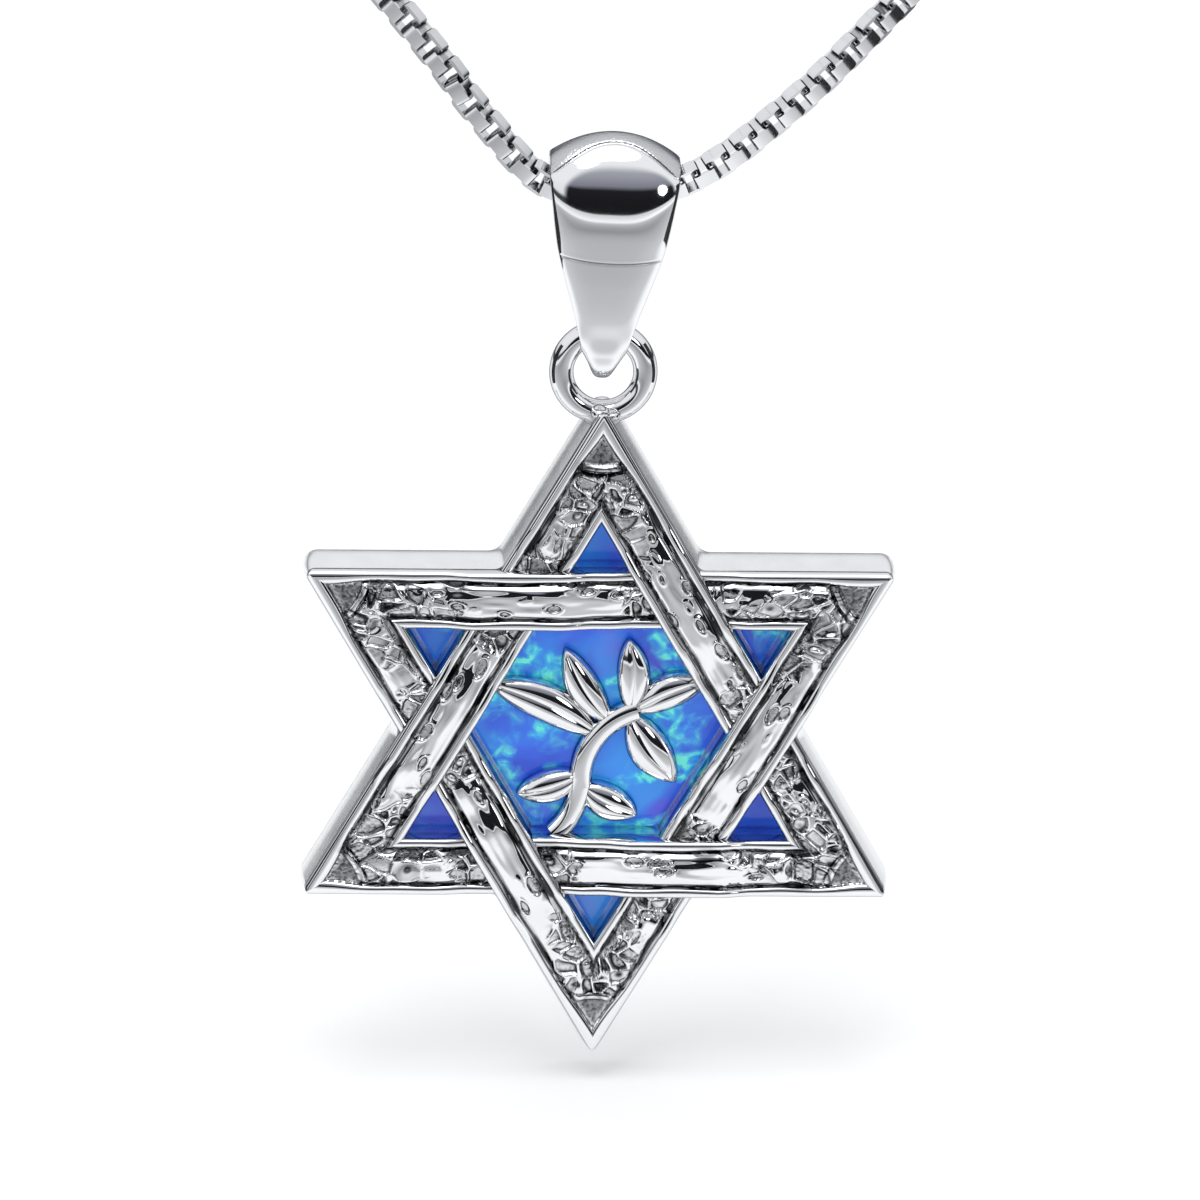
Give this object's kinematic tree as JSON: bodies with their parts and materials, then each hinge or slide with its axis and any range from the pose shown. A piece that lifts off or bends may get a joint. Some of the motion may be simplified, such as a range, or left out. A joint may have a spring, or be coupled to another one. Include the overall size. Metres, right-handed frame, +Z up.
{
  "type": "star of david pendant on chain",
  "caption": "Woven six-pointed star with blue opal inlays and a leafy sprig, hung by a soldered ring from a tapered bail on a fine box chain.",
  "frame": {"origin": "middle of the clasp at the nape, where the chain lies on the back of the neck", "axes": "+X across the wearer, -Y towards the star's front, +Z up"},
  "size_m": [0.1294, 0.1159, 0.1538],
  "materials": {
    "frame": "polished, satin on the outer walls",
    "bail": "polished",
    "chain": "polished",
    "clasp": "polished",
    "opal": "polished, with blue and green flashes"
  },
  "bodies": {
    "chain": {"chain_right": "chain", "chain_left": "chain", "clasp": "clasp"},
    "bail": {"bail": "bail"},
    "star": {"star_frame": "frame", "opal_centre": "opal", "opal_point_1": "opal", "opal_point_2": "opal", "opal_point_3": "opal", "opal_point_4": "opal", "opal_point_5": "opal", "opal_point_6": "opal"}
  },
  "joints": [
    {"name": "bail_swing", "type": "hinge", "parent": "chain", "child": "bail", "pos_m": [0, -0.112, -0.115], "axis": [1, 0, 0], "range_deg": [-60, 60]},
    {"name": "star_swing", "type": "hinge", "parent": "bail", "child": "star", "pos_m": [-0.00039, -0.112, -0.12133], "axis": [1, 0, 0], "range_deg": [-60, 60]}
  ]
}
